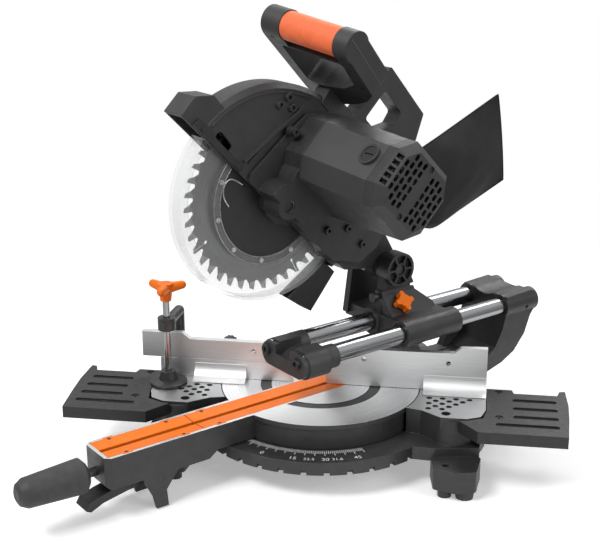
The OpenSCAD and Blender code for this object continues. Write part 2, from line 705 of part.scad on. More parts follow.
module gear_case() color(charcoal) on_head() difference() {
    union() {
        head_slab(case_v, flange_out) flange_outline();
        head_slab(flange_out - cut, arm_out) arm_outline();
        head_slab(flange_out - cut, motor_v) drive_outline();
        nose_lobe();
        at(flange_bolt.x, flange_bolt.y) across(flange_out - cut, arm_out - 3, 6.5);
        head_slab(-5, case_v + cut) polygon([[-14, 16], [0, 22], [46, 34], [110, 30], [110, -50], [60, -50],
            [20, -21], [0, -22]]);
        head_slab(-22, -5 + cut) polygon([[30, 29], [46, 34], [110, 30], [110, -50], [60, -50], [30, -28]]);
        across(-5, ear_in - slide_gap, 22);
        across(left_ear_in + slide_gap, -4, 14);
        at(blade_a, blade_b) across(5.3, case_v + cut, nose_r);
    }
    across(-60, 80, pivot_r + run_fit);
    at(blade_a, blade_b) difference() {
        across(-30, case_v, guard_r + 0.3);
        across(5.2, case_v + 1, nose_r);
    }
    head_slab(ear_in - slide_gap, motor_v + 1) circle(r = 27);
    duct_solid(duct_r + 0.3);
    head_slab(ear_in - slide_gap, motor_v + 1)
        polygon([[-30, 40], [40, 60], [60, 38], [50, 0], [52, -40], [-30, -60]]);
    head_slab(gear_v - 4, gear_v + gear_w + 4) drive_pocket();
    at(blade_a, blade_b) across(0, motor_v + 1, spindle_r + 0.6);
    at(blade_a, blade_b) across(case_v - 1, gear_v - 3, bearing_out);
    at(blade_a, blade_b) across(gear_v + gear_w + 3, motor_v - 3, bearing_out);
    at(motor_a, motor_b) across(gear_v, motor_v + 1, 7);
    at(motor_a, motor_b) across(motor_v - 8, motor_v + 1, bearing_out);
    at(idler_a, idler_b) across(gear_v - 7, gear_v + gear_w + 7, 5 + run_fit);
    for (p = case_screw_places) at(p.x, p.y) across(arm_out - 5, arm_out + 1, 3);
    at(flange_bolt.x, flange_bolt.y) across(arm_out - 10, arm_out, 3);
}

case_screw_places = [[143, -33], [116, -10], [78, -11]];
flange_bolt = [282, 30];

module case_screw(v) {
    across(v - 5, v + 0.5, 2.98);
    difference() {
        across(v, v + 5, 5.6);
        translate([v + 2, 0, 0]) rotate([0, 90, 0]) cylinder(h = 4, r = 2.6, $fn = 6);
    }
}

module case_screws() color(steel) on_head() {
    for (p = case_screw_places) at(p.x, p.y) case_screw(arm_out);
    at(flange_bolt.x, flange_bolt.y) case_screw(arm_out - 3);
}

// guards

nose_outline = [[330, edge_b - cut], [375, -11], [402, -9], [422, -27], [422, edge_b - cut]];
nose_inner = [[330, -70], [372, -15], [400, -13], [418, -29], [418, -70]];

module above_edge(v0, v1) head_slab(v0, v1) polygon([[60, edge_b], [60, 130], [430, 130], [430, edge_b]]);

// raised line beside the rim, two ribs along the gear case and three screw bosses
module guard_lines() {
    head_slab(case_v - cut, case_v + 1.2) intersection() {
        translate([blade_a, blade_b]) difference() {
            circle(r = guard_r - 10.6);
            circle(r = guard_r - 13.4);
        }
        polygon([[305, -40], [430, -40], [430, 130], [278, 130], [284, 76]]);
    }
    head_slab(case_v - cut, case_v + 5) bar_2d([308.6, -43], [284, 70], 4);
    head_slab(case_v - cut, case_v + 3) bar_2d([301, -40], [296, -6], 2.5);
    for (p = guard_bosses) at(p.x, p.y) across(case_v - cut, case_v + 5, 5.5);
}

guard_bosses = [[311, 62], [315, 46], [297, 56]];

module upper_guard() color(charcoal) on_head() difference() {
    union() {
        intersection() {
            above_edge(-25, case_v + 1);
            union() {
                at(blade_a, blade_b) across(-24, 12, guard_r);
                at(blade_a, blade_b) across(12, case_v, guard_r, guard_r - rim_bevel);
                head_slab(-24, case_v - 1) polygon(nose_outline);
            }
        }
        guard_lines();
    }
    at(blade_a, blade_b) across(-21, 12, guard_r - 3.5);
    at(blade_a, blade_b) across(12 - cut, 15, guard_r - 4, guard_r - 10);
    head_slab(-21, 15) polygon(nose_inner);
    at(blade_a, blade_b) across(10, 20, nose_r + 0.3);
    head_slab(10, 22) polygon(soft([[334, -50.5], [335.5, -38.5], [364.5, -35.2], [365.5, -46.5]], 5));
    for (p = guard_bosses) at(p.x, p.y) across(case_v + 1, case_v + 6, 3);
    duct_solid(duct_r - 4);
    at(blade_a, blade_b) across(-26, -20, 30);
}

module guard_strip() color(black) on_head() {
    head_slab(case_v, 22) polygon([[403, -57], [400, -45], [374, -43], [367, -47.5], [312, -48.5], [304, -53],
        [304, -57]]);
    for (p = [[387, -51], [313, -53]]) at(p.x, p.y) across(22 - cut, 24, 3.2);
}

module lower_half(r_in, r_out) difference() {
    circle(r = r_out);
    circle(r = r_in);
    translate([-200, -3.5]) square([400, 200]);
}

module guard_slab(v0, v1) at(blade_a, blade_b) head_slab(v0, v1) children();

module lower_guard() color(clear) on_head() difference() {
    union() {
        guard_slab(-16, 11) lower_half(low_guard_r - 4, low_guard_r);
        guard_slab(8.5, 11) lower_half(78, low_guard_r - 4 + cut);
        guard_slab(-16, -13.5) lower_half(blade_r - 15, low_guard_r - 4 + cut);
    }
    guard_rivet_places() across(0, 20, 2);
}

module guard_rivet_places() for (t = [-20:-35:-160])
    at(blade_a + 83 * cos(t), blade_b + 83 * sin(t)) children();

module guard_hub() color(black) on_head() difference() {
    union() {
        guard_slab(5.8, 8.4) lower_half(nose_r, 88);
        guard_slab(5.8, 8.4) circle(r = 27);
    }
    at(blade_a, blade_b) across(0, 20, nose_r + 0.1);
    guard_rivet_places() across(0, 20, 2);
}

module guard_rivets() color(steel) on_head() guard_rivet_places() {
    across(5.8, 11, 1.98);
    across(11, 12, 3.4);
}

// blade and spindle

blade_teeth = 40;
function tooth(i) = let (t = 360 * i / blade_teeth, w = 360 / blade_teeth)
    [[blade_r - 13, t], [blade_r, t + 0.02 * w], [blade_r - 1.5, t + 0.3 * w], [blade_r - 9, t + 0.5 * w],
        [blade_r - 14, t + 0.78 * w]];
blade_outline = [for (i = [0:blade_teeth - 1]) for (p = tooth(i)) p[0] * [cos(p[1]), sin(p[1])]];

module blade() color(steel) on_head() guard_slab(-1.2, 1.2) difference() {
    polygon(blade_outline);
    circle(r = spindle_r);
    for (t = [20:90:290]) rotate(t) {
        translate([blade_r - 22, 0]) circle(r = 2.4);
        translate([blade_r - 22, -0.8]) square([30, 1.6]);
    }
}

function gear_outline(teeth, m) = let (r = m * teeth / 2, w = 360 / teeth)
    [for (i = [0:teeth - 1]) for (k = [[-1.15, -0.28], [0.75, -0.1], [0.75, 0.1], [-1.15, 0.28]])
        (r + m * k[0]) * [cos((i + k[1]) * w), sin((i + k[1]) * w)]];

module gear_2d(teeth, phase) rotate(phase) polygon(gear_outline(teeth, gear_m));

module spindle() color(steel) on_head() at(blade_a, blade_b) {
    across(-4, motor_v - 4, spindle_r);
    head_slab(gear_v, gear_v + gear_w) gear_2d(spindle_teeth, drive_dir);
}

module idler_gear() color(steel) on_head() at(idler_a, idler_b) {
    across(gear_v - 6.5, gear_v + gear_w + 6.5, 5);
    head_slab(gear_v, gear_v + gear_w) gear_2d(idler_teeth, drive_dir + 180 + 180 / idler_teeth);
}

module flanges() color(steel) on_head() at(blade_a, blade_b) difference() {
    union() {
        across(1.2, 5, 20);
        across(-4.5, -1.2, 22);
    }
    across(-10, 10, spindle_r);
}

module arbor_bolt() color(black) on_head() at(blade_a, blade_b) difference() {
    union() {
        across(-5.8, -4.5, 13);
        translate([-11, 0, 0]) rotate([0, 90, 0]) cylinder(h = 5.3, r = 9, $fn = 6);
    }
    across(-12, -8, 4);
}

module ring(v0, v1, r_in, r_out) difference() {
    across(v0, v1, r_out);
    across(v0 - 1, v1 + 1, r_in);
}

module bearings() color(steel) on_head() {
    at(blade_a, blade_b) ring(case_v - 0.9, gear_v - 3.2, spindle_r + run_fit, bearing_out);
    at(blade_a, blade_b) ring(gear_v + gear_w + 3.2, motor_v - 3.2, spindle_r + run_fit, bearing_out);
    at(motor_a, motor_b) ring(motor_v - 7.8, motor_v, 6 + run_fit, bearing_out);
    at(motor_a, motor_b) ring(motor_end - 14, motor_end - 7, 6 + run_fit, bearing_out);
}

// motor

function octagon(ha, hb) = [[ha, -hb * 0.52], [ha, hb * 0.52], [ha * 0.66, hb], [-ha * 0.66, hb],
    [-ha, hb * 0.52], [-ha, -hb * 0.52], [-ha * 0.66, -hb], [ha * 0.66, -hb]];
motor_wide = motor_half + 4;

module motor_outline(inset) translate([motor_a, motor_b])
    polygon(octagon(motor_wide - inset, motor_half - inset));

// wider end of the motor housing, flared towards the front of the saw
module motor_foot_outline() translate([motor_a, motor_b])
    polygon([for (p = octagon(motor_wide, motor_half)) p.x > 0 ? p + [motor_flare, 0] : p]);

brush_v = cap_v - 18;
brush_rise = 6;

module brush_axis() at(motor_a, motor_b) translate([brush_v, 0, 6]) rotate([90, 0, 0]) children();

module motor_housing() color(charcoal) on_head() difference() {
    union() {
        hull() {
            head_slab(motor_v, motor_v + 4) motor_foot_outline();
            head_slab(cap_v - 4, cap_v) motor_outline(0);
        }
        brush_axis() translate([0, 0, motor_wide - 8]) cylinder(h = 8 + brush_rise, r = 15);
    }
    head_slab(motor_v + 4, cap_v + 1) motor_outline(4.5);
    at(motor_a, motor_b) across(motor_v - 1, motor_v + 6, 30);
    brush_axis() translate([0, 0, motor_wide - 20]) cylinder(h = 30, r = 12);
    brush_axis() translate([0, 0, -motor_wide - 10]) cylinder(h = 30, r = 12);
}

module brush_caps() color(black) on_head() at(motor_a, motor_b) translate([brush_v, 0, 6]) for (t = [90, -90])
    rotate([t, 0, 0]) difference() {
        translate([0, 0, motor_wide - 5]) cylinder(h = t > 0 ? 4 + brush_rise : 5, r = 11.9);
        translate([-8, -1, motor_wide + (t > 0 ? brush_rise - 3 : -2)]) cube([16, 2, 5]);
    }

module vent_rows() for (i = [-4, -3, -2, -1, 1, 2, 3, 4]) {
    rows = abs(i) == 4 ? 1.5 : 2.5;
    for (k = [-rows:1:rows]) translate([i * 9.6 + (i > 0 ? 2 : -2), k * 12 + (i % 2) * 3])
        slot_2d([0, -1.7], [0, 1.7], 6.2);
}

module cap_screw_places() for (s = [-1, 1]) translate([0, s * 37]) children();

chamfer = 11;
side_turn = atan2(0.34 * motor_wide, 0.48 * motor_half);
side_far = motor_wide * sin(90 - side_turn) + 0.52 * motor_half * sin(side_turn);
motor_sides = [[0, motor_wide], [side_turn, side_far], [90, motor_half], [180 - side_turn, side_far],
    [180, motor_wide], [180 + side_turn, side_far], [270, motor_half], [360 - side_turn, side_far]];

module end_chamfer() at(motor_a, motor_b) for (s = motor_sides) rotate([90 - s[0], 0, 0])
    translate([motor_end - chamfer / 2, 0, s[1] - chamfer / 2]) rotate([0, 45, 0])
        translate([-40, -80, 0]) cube([80, 160, 40]);

module end_inside(inset) difference() {
    motor_outline(inset);
    translate([motor_a, motor_b]) circle(r = 18);
    translate([motor_a - 6, motor_b - 60]) square([12, 120]);
}

module motor_cap() color(charcoal) on_head() difference() {
    head_slab(cap_v, motor_end) motor_outline(0);
    end_chamfer();
    head_slab(cap_v - 1, motor_end - chamfer - 1) end_inside(4.5);
    head_slab(cap_v - 1, motor_end - 4) end_inside(chamfer + 1.5);
    head_slab(motor_end - 5, motor_end + 1) translate([motor_a, motor_b]) vent_rows();
    head_slab(motor_end - 3, motor_end + 1) translate([motor_a, motor_b]) cap_screw_places() circle(r = 4.5);
    at(motor_a, motor_b) across(motor_end - 14.2, motor_end - 6.8, bearing_out);
    at(motor_a, motor_b) across(cap_v - 1, motor_end - 6, 8);
    for (k = [-2:2]) at(motor_a, motor_b + k * 9.6)
        translate([motor_end - chamfer / 2, chamfer / 2 - motor_wide, 0]) rotate([0, 0, -45])
            cube([14, 9, 6], center = true);
}

module stator() color(steel) on_head() intersection() {
    head_slab(motor_v + 20, cap_v) motor_outline(4.5);
    at(motor_a, motor_b) union() {
        ring(motor_v + 38, motor_v + 84, 31, motor_half - 2);
        ring(motor_v + 33, motor_v + 89, 33, 42);
    }
}

module rotor() color(steel) on_head() at(motor_a, motor_b) {
    across(gear_v, motor_end - 7.5, 6);
    head_slab(gear_v, gear_v + gear_w) gear_2d(pinion_teeth, drive_dir);
    across(motor_v + 36, motor_v + 86, 29);
    across(motor_v + 92, motor_v + 110, 16);
    difference() {
        across(motor_v + 10, motor_v + 26, 43);
        for (t = [0:30:330]) rotate([t, 0, 0]) translate([motor_v + 13, 14, -1]) cube([20, 26, 10]);
    }
}

// handles

grip_place = [54.2, -357.2, 134];
grip_turn = 12;
sleeve_half = 48;
cap_left = -86;
cap_right = 72;
handle_half = 19;
sleeve_core = 12.5;
plate_top = grip_place.z - handle_half;

// grip frame: x runs along the grip to the operator's right, y runs to the rear
module on_grip() translate(grip_place) rotate([0, 0, grip_turn]) children();
module grip_rod(x0, x1, r) on_grip() across(x0, x1, r);

handle_outline = soft([[cap_left, 0], [cap_left, 12], [-74, 118], [-70, 134], [-56, 143], [-22, 137],
    [23, 117],
    [52, 98], [cap_right, 76], [cap_right, 0]], 5);
handle_opening = soft([[-62, 21], [-56, 95], [-30, 98], [18, 84], [46, 64], [50, 21]], 6);

module guard_room() at(blade_a, blade_b) {
    across(-30, 12 + cut, guard_r + run_fit);
    across(12, case_v + cut, guard_r + run_fit, guard_r - rim_bevel + 2 * run_fit);
}

module trigger_room() on_grip() translate([-32, 5.5, -8]) cube([54, 30, 16]);

module handle_holes() on_grip() for (p = [[-68, 6], [60, 5], [58, 68]])
    translate([p.x, p.y, -handle_half - 3]) cylinder(h = 11, r = 3.6);

module handle_frame() color(charcoal) on_head() difference() {
    union() {
        on_grip() difference() {
            translate([0, 0, -handle_half]) linear_extrude(2 * handle_half) difference() {
                polygon(handle_outline);
                polygon(handle_opening);
            }
            translate([-sleeve_half, -1, -30]) cube([2 * sleeve_half, sleeve_r + 1.5, 60]);
        }
        grip_rod(cap_left + 5, -sleeve_half, 21);
        on_grip() across(cap_left, cap_left + 5 + cut, 16, 21);
        grip_rod(sleeve_half, cap_right, 21);
        grip_rod(-sleeve_half - 2, sleeve_half + 2, sleeve_core);
    }
    trigger_room();
    handle_holes();
}

module grip_sleeve() color(orange) on_head() difference() {
    grip_rod(-sleeve_half + 0.1, sleeve_half - 0.1, sleeve_r);
    grip_rod(-sleeve_half - 1, sleeve_half + 1, sleeve_core);
    trigger_room();
}

module trigger() color(orange) on_head() on_grip() translate([0, 0, -7.5]) linear_extrude(15)
    polygon(soft([[-30, 11], [20, 11], [20, 24], [6, 28], [-14, 27], [-30, 22]], 1.5));

module carry_handle() color(charcoal) on_head() difference() {
    head_slab(-8, 20) difference() {
        polygon(soft([[204, 204], [107, 197], [90, 160], [112, 118], [136, 86], [262, 86], [266, plate_top],
            [206, plate_top], [204, 128]], 3));
        polygon(soft([[188, 174], [141, 171], [138, 152], [158, 124], [188, 124]], 5));
    }
    guard_room();
    head_slab(case_v, 30) polygon([[60, 60], [60, 90.5], [300, 90.5], [300, 60]]);
}

// dust parts

duct_r = 21;
duct_from = [112, 33];
duct_to = [28, 104];
duct_turn = atan2(duct_to.y - duct_from.y, duct_to.x - duct_from.x);
duct_len = norm(duct_to - duct_from);

// duct axis: z runs from the guard to the bag
module on_duct() translate([-3, -duct_from.x, duct_from.y]) rotate([90 - duct_turn, 0, 0])
    mirror([0, 1, 0]) children();
module duct_solid(r) on_duct() cylinder(h = duct_len, r = r);

module dust_duct() color(black) on_head() difference() {
    union() {
        duct_solid(duct_r);
        on_duct() translate([0, 0, duct_len - 10]) cylinder(h = 10, r = duct_r + 3);
    }
    duct_solid(duct_r - 3);
    at(blade_a, blade_b) across(-40, 40, guard_r + touch);
}

module dust_chute() color(black) on_head() difference() {
    head_slab(-20, 3) polygon([[60, -58.2], [86, -58.2], [102, -132], [54, -124]]);
    at(blade_a, blade_b) across(-17.5, 12, low_guard_r + 2);
    head_slab(-17.5, 0.5) polygon([[63, -60], [83, -60], [110, -140], [57, -140]]);
}

bag_round = 32;

module bag_knob(a, b, r) at(a, b) translate([-3, 0, 0]) sphere(r = r, $fn = 28);

module dust_bag() color(black) on_head() hull() {
    on_duct() translate([0, 0, duct_len + touch]) cylinder(h = 4, r = duct_r + 2, $fn = 32);
    bag_knob(26, 158, bag_round);
    bag_knob(-26, 104, bag_round);
    bag_knob(-12, 316, 6);
    bag_knob(-84, 266, 8);
    bag_knob(-106, 238, 6);
}

base_casting();
rubber_feet();
right_fence();
left_fence();
sliding_fence();
fence_knob();
fence_bolts();
left_wing();
right_wing();
wing_screws();
clamp_post();
clamp_rod();
clamp_pad();
turntable();
table_bolt();
front_insert();
rear_insert();
insert_screws();
lock_rod();
lock_grip();
detent_lever();
lever_pin();
miter_pointer();
rear_housing();
bevel_bolt();
bevel_lever();
rails();
rail_cap();
cap_screws();
carriage();
rail_bushes();
pivot_shaft();
pivot_spring();
depth_stop();
slide_knob();
gear_case();
case_screws();
upper_guard();
guard_strip();
lower_guard();
guard_hub();
guard_rivets();
blade();
spindle();
flanges();
arbor_bolt();
idler_gear();
bearings();
motor_housing();
motor_cap();
stator();
rotor();
brush_caps();
handle_frame();
grip_sleeve();
trigger();
carry_handle();
dust_chute();
dust_duct();
dust_bag();
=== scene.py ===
"""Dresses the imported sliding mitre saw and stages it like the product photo."""

import json
import math

import bpy
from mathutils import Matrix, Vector, noise


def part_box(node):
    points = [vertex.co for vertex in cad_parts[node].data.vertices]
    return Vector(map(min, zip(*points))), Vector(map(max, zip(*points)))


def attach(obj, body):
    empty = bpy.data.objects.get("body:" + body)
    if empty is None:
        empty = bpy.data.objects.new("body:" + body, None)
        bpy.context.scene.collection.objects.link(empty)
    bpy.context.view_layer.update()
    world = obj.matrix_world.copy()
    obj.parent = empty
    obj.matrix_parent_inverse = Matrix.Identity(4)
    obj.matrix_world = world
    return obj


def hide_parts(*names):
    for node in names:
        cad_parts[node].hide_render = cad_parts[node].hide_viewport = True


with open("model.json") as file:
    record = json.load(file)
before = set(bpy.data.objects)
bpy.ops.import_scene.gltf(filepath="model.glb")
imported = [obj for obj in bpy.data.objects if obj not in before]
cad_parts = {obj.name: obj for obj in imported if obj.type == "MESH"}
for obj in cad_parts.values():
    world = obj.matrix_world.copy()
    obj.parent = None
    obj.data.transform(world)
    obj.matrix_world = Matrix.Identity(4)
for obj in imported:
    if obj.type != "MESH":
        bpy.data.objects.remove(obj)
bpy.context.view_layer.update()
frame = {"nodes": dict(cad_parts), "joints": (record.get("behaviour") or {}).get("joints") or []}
nodes = frame["nodes"]
joints = {j["name"]: j for j in frame["joints"]}

MM = 0.001
IMAGE_W = 600
UP = Vector((0, 0, 1))

# Directions of the photographed pose, read from the joints
ACROSS = Vector(joints["chop"]["axis"])
REAR = Vector(joints["carriage_travel"]["axis"])
PIVOT = Vector(joints["chop"]["pos_m"])
BLADE = Vector(joints["blade_spin"]["pos_m"])
TABLE_Z = joints["miter"]["pos_m"][2]
RAISED = math.radians(45)
FORWARD = -REAR * math.cos(RAISED) + UP * math.sin(RAISED)
ABOVE = REAR * math.sin(RAISED) + UP * math.cos(RAISED)


def head_point(forward, above, across=0.0):
    """A point of the head, in mm from the chop pivot, as it is drawn with the head lowered."""
    return PIVOT + (FORWARD * forward + ABOVE * above + ACROSS * across) * MM


# Material helpers


class Shader:
    """One Principled material and the few nodes that texture it."""

    def __init__(self, name, colour, rough, metal=0.0):
        self.material = bpy.data.materials.new(name)
        self.material.use_nodes = True
        self.tree = self.material.node_tree
        self.bsdf = self.tree.nodes["Principled BSDF"]
        self.colour = colour
        self.bsdf.inputs["Base Color"].default_value = (*colour, 1)
        self.bsdf.inputs["Roughness"].default_value = rough
        self.bsdf.inputs["Metallic"].default_value = metal
        self.place = self.tree.nodes.new("ShaderNodeTexCoord").outputs["Object"]
        self.normal = None

    def link(self, start, end):
        self.tree.links.new(start, end)

    def turned(self, angle, stretch, middle=Vector((0, 0, 0))):
        """Object coordinates, turned about the vertical and stretched."""
        shift = self.tree.nodes.new("ShaderNodeMapping")
        shift.vector_type = "TEXTURE"
        shift.inputs["Location"].default_value = middle
        shift.inputs["Rotation"].default_value = (0, 0, angle)
        shift.inputs["Scale"].default_value = stretch
        self.link(self.place, shift.inputs["Vector"])
        return shift.outputs["Vector"]

    def around(self, middle, axis):
        """Direction round an axis, as long as the distance from it."""
        away = self.tree.nodes.new("ShaderNodeVectorMath")
        away.operation = "SUBTRACT"
        away.inputs[1].default_value = middle
        self.link(self.place, away.inputs[0])
        cross = self.tree.nodes.new("ShaderNodeVectorMath")
        cross.operation = "CROSS_PRODUCT"
        cross.inputs[1].default_value = axis
        self.link(away.outputs["Vector"], cross.inputs[0])
        return cross.outputs["Vector"]

    def radius(self, middle, axis):
        """Distance from an axis, for turned and spun surfaces."""
        length = self.tree.nodes.new("ShaderNodeVectorMath")
        length.operation = "LENGTH"
        self.link(self.around(middle, axis), length.inputs[0])
        return length.outputs["Value"]

    def spun(self, middle, axis, amount):
        """Highlights that fan out from an axis, as on a ground disc."""
        self.bsdf.inputs["Anisotropic"].default_value = amount
        self.link(self.around(middle, axis), self.bsdf.inputs["Tangent"])

    def noise(self, scale, detail=3.0, place=None, rough=0.55):
        texture = self.tree.nodes.new("ShaderNodeTexNoise")
        texture.inputs["Scale"].default_value = scale
        texture.inputs["Detail"].default_value = detail
        texture.inputs["Roughness"].default_value = rough
        self.link(place or self.place, texture.inputs["Vector"])
        return texture.outputs["Fac"]

    def rings(self, distance, scale, detail=3.0):
        """Noise that only changes with a distance, which gives turning marks."""
        texture = self.tree.nodes.new("ShaderNodeTexNoise")
        texture.noise_dimensions = "1D"
        texture.inputs["Scale"].default_value = scale
        texture.inputs["Detail"].default_value = detail
        self.link(distance, texture.inputs["W"])
        return texture.outputs["Fac"]

    def ranged(self, value, low, high, start=0.3, stop=0.7):
        spread = self.tree.nodes.new("ShaderNodeMapRange")
        spread.inputs["From Min"].default_value = start
        spread.inputs["From Max"].default_value = stop
        spread.inputs["To Min"].default_value = low
        spread.inputs["To Max"].default_value = high
        self.link(value, spread.inputs["Value"])
        return spread.outputs["Result"]

    def rough_from(self, value, low, high):
        self.link(self.ranged(value, low, high), self.bsdf.inputs["Roughness"])

    def colour_from(self, value, dark, light, start=0.3, stop=0.7):
        """Base colour between two shares of the material's own colour."""
        mix = self.tree.nodes.new("ShaderNodeMix")
        mix.data_type = "RGBA"
        mix.inputs["A"].default_value = (*(min(1, c * dark) for c in self.colour), 1)
        mix.inputs["B"].default_value = (*(min(1, c * light) for c in self.colour), 1)
        self.link(self.ranged(value, 0, 1, start, stop), mix.inputs["Factor"])
        self.link(mix.outputs["Result"], self.bsdf.inputs["Base Color"])

    def soft_edges(self, width):
        """Rounded edges in the shading."""
        bevel = self.tree.nodes.new("ShaderNodeBevel")
        bevel.samples = 4
        bevel.inputs["Radius"].default_value = width
        self.normal = bevel.outputs["Normal"]
        self.link(self.normal, self.bsdf.inputs["Normal"])

    def bump(self, value, depth, strength=1.0):
        bump = self.tree.nodes.new("ShaderNodeBump")
        bump.inputs["Strength"].default_value = strength
        bump.inputs["Distance"].default_value = depth
        self.link(value, bump.inputs["Height"])
        if self.normal:
            self.link(self.normal, bump.inputs["Normal"])
        self.normal = bump.outputs["Normal"]
        self.link(self.normal, self.bsdf.inputs["Normal"])


# Materials


def casting_paint():
    """Dark powder coat on castings."""
    s = Shader("casting_paint", (0.024, 0.024, 0.025), 0.42)
    s.soft_edges(1.2 * MM)
    s.colour_from(s.noise(45, 4), 0.8, 1.25)
    s.rough_from(s.noise(120), 0.36, 0.5)
    s.bump(s.noise(1600, 2), 0.12 * MM, 0.35)
    return s.material


def moulded_plastic():
    """Charcoal moulding with a spark-eroded grain."""
    s = Shader("moulded_plastic", (0.03, 0.03, 0.031), 0.46)
    s.soft_edges(1.5 * MM)
    s.colour_from(s.noise(30, 3), 0.85, 1.2)
    s.rough_from(s.noise(90), 0.42, 0.56)
    s.bump(s.noise(2600, 2), 0.08 * MM, 0.4)
    return s.material


def black_plastic():
    s = Shader("black_plastic", (0.014, 0.014, 0.0145), 0.5)
    s.soft_edges(0.9 * MM)
    s.colour_from(s.noise(60, 3), 0.85, 1.2)
    s.rough_from(s.noise(150), 0.42, 0.58)
    s.bump(s.noise(2200, 2), 0.08 * MM, 0.4)
    return s.material


def black_rubber():
    s = Shader("black_rubber", (0.035, 0.035, 0.035), 0.62)
    s.soft_edges(1.2 * MM)
    s.colour_from(s.noise(80, 3), 0.8, 1.2)
    s.bump(s.noise(1200, 3), 0.15 * MM, 0.4)
    return s.material


def orange_plastic():
    s = Shader("orange_plastic", (0.98, 0.19, 0.003), 0.4)
    s.bsdf.inputs["Specular IOR Level"].default_value = 0.3
    s.soft_edges(0.8 * MM)
    s.colour_from(s.noise(40, 3), 0.93, 1.05)
    s.rough_from(s.noise(140), 0.34, 0.46)
    s.bump(s.noise(1500, 2), 0.05 * MM, 0.3)
    return s.material


def orange_rubber():
    """Soft grip with a field of small raised dots."""
    s = Shader("orange_rubber", (0.95, 0.18, 0.06), 0.55)
    s.colour_from(s.noise(60, 3), 0.92, 1.06)
    dots = s.tree.nodes.new("ShaderNodeTexVoronoi")
    dots.inputs["Scale"].default_value = 380
    dots.inputs["Randomness"].default_value = 0.0
    s.link(s.place, dots.inputs["Vector"])
    s.bump(s.ranged(dots.outputs["Distance"], 1, 0, 0.15, 0.5), 0.5 * MM, 0.5)
    return s.material


def machined_aluminium(name, angle=0.0):
    """Milled and brushed faces with streaks along one direction."""
    s = Shader(name, (0.66, 0.664, 0.668), 0.3, 1.0)
    s.soft_edges(0.6 * MM)
    streaks = s.noise(1.0, 4, s.turned(angle, (0.05, 0.0012, 0.0012)))
    s.colour_from(streaks, 0.92, 1.06)
    s.rough_from(streaks, 0.4, 0.52)
    return s.material


def turned_aluminium():
    """Table top with the fine rings of turning."""
    s = Shader("turned_aluminium", (0.74, 0.745, 0.75), 0.32, 1.0)
    s.soft_edges(0.6 * MM)
    s.spun(Vector((0, 0, 0)), UP, 0.6)
    marks = s.rings(s.radius(Vector((0, 0, 0)), UP), 1100, 4)
    s.colour_from(marks, 0.93, 1.04)
    s.rough_from(marks, 0.26, 0.36)
    return s.material


def cast_table():
    """Side tables: a greyer, finely milled top."""
    s = Shader("cast_table", (0.42, 0.424, 0.428), 0.36, 1.0)
    s.soft_edges(0.8 * MM)
    grain = s.noise(1.0, 4, s.turned(0, (0.04, 0.001, 0.001)))
    s.colour_from(grain, 0.94, 1.05)
    s.rough_from(grain, 0.32, 0.42)
    return s.material


def plain_steel():
    s = Shader("plain_steel", (0.52, 0.525, 0.53), 0.3, 1.0)
    s.soft_edges(0.4 * MM)
    s.colour_from(s.noise(140, 3), 0.85, 1.1)
    s.rough_from(s.noise(300), 0.22, 0.4)
    return s.material


def dark_steel():
    s = Shader("dark_steel", (0.06, 0.06, 0.062), 0.4, 0.8)
    s.soft_edges(0.6 * MM)
    s.colour_from(s.noise(90, 3), 0.8, 1.2)
    s.rough_from(s.noise(200), 0.34, 0.5)
    return s.material


def ground_steel():
    """Ground and polished bar with faint streaks along the rails."""
    s = Shader("ground_steel", (0.31, 0.315, 0.325), 0.2, 1.0)
    streaks = s.noise(1.0, 4, s.turned(math.radians(45), (0.08, 0.0015, 0.0015)))
    s.colour_from(streaks, 0.82, 1.12)
    s.rough_from(streaks, 0.14, 0.26)
    return s.material


def blade_plate():
    """Ground plate with fine rings about the blade's axis."""
    s = Shader("blade_plate", (0.12, 0.12, 0.123), 0.32, 1.0)
    s.spun(BLADE, ACROSS, 0.7)
    marks = s.rings(s.radius(BLADE, ACROSS), 900, 4)
    s.colour_from(marks, 0.75, 1.2)
    s.rough_from(marks, 0.26, 0.42)
    s.bump(marks, 0.03 * MM, 0.3)
    return s.material


def carbide():
    s = Shader("carbide", (0.3, 0.3, 0.305), 0.3, 1.0)
    s.colour_from(s.noise(400, 2), 0.85, 1.1)
    s.rough_from(s.noise(500), 0.2, 0.35)
    return s.material


def clear_plastic():
    """Polycarbonate sheet: clear where it faces the eye, milky along its edges."""
    s = Shader("clear_plastic", (0.86, 0.87, 0.88), 0.12)
    s.rough_from(s.noise(30, 3), 0.06, 0.16)
    s.colour_from(s.noise(18, 2), 0.95, 1.03)
    edge = s.tree.nodes.new("ShaderNodeLayerWeight")
    edge.inputs["Blend"].default_value = 0.35
    s.link(s.ranged(edge.outputs["Facing"], 0.07, 0.62, 0.1, 0.95), s.bsdf.inputs["Alpha"])
    return s.material


def bag_cloth():
    """Dark woven cloth."""
    s = Shader("bag_cloth", (0.016, 0.016, 0.0163), 0.85)
    s.bsdf.inputs["Sheen Weight"].default_value = 0.06
    s.bsdf.inputs["Specular IOR Level"].default_value = 0.3
    s.colour_from(s.noise(35, 4), 0.8, 1.25)
    weave = s.tree.nodes.new("ShaderNodeTexVoronoi")
    weave.inputs["Scale"].default_value = 900
    weave.inputs["Randomness"].default_value = 0.15
    s.link(s.place, weave.inputs["Vector"])
    s.bump(weave.outputs["Distance"], 0.25 * MM, 0.4)
    return s.material


def seam_highlight():
    """Lighter grey along a moulding's parting line: a painted highlight where light catches its
    edge.
    """
    s = Shader("seam_highlight", (0.13, 0.13, 0.135), 0.45)
    s.colour_from(s.noise(300, 2), 0.8, 1.2)
    return s.material


def scale_white():
    s = Shader("scale_white", (0.75, 0.75, 0.75), 0.5)
    s.colour_from(s.noise(200, 2), 0.9, 1.1)
    return s.material


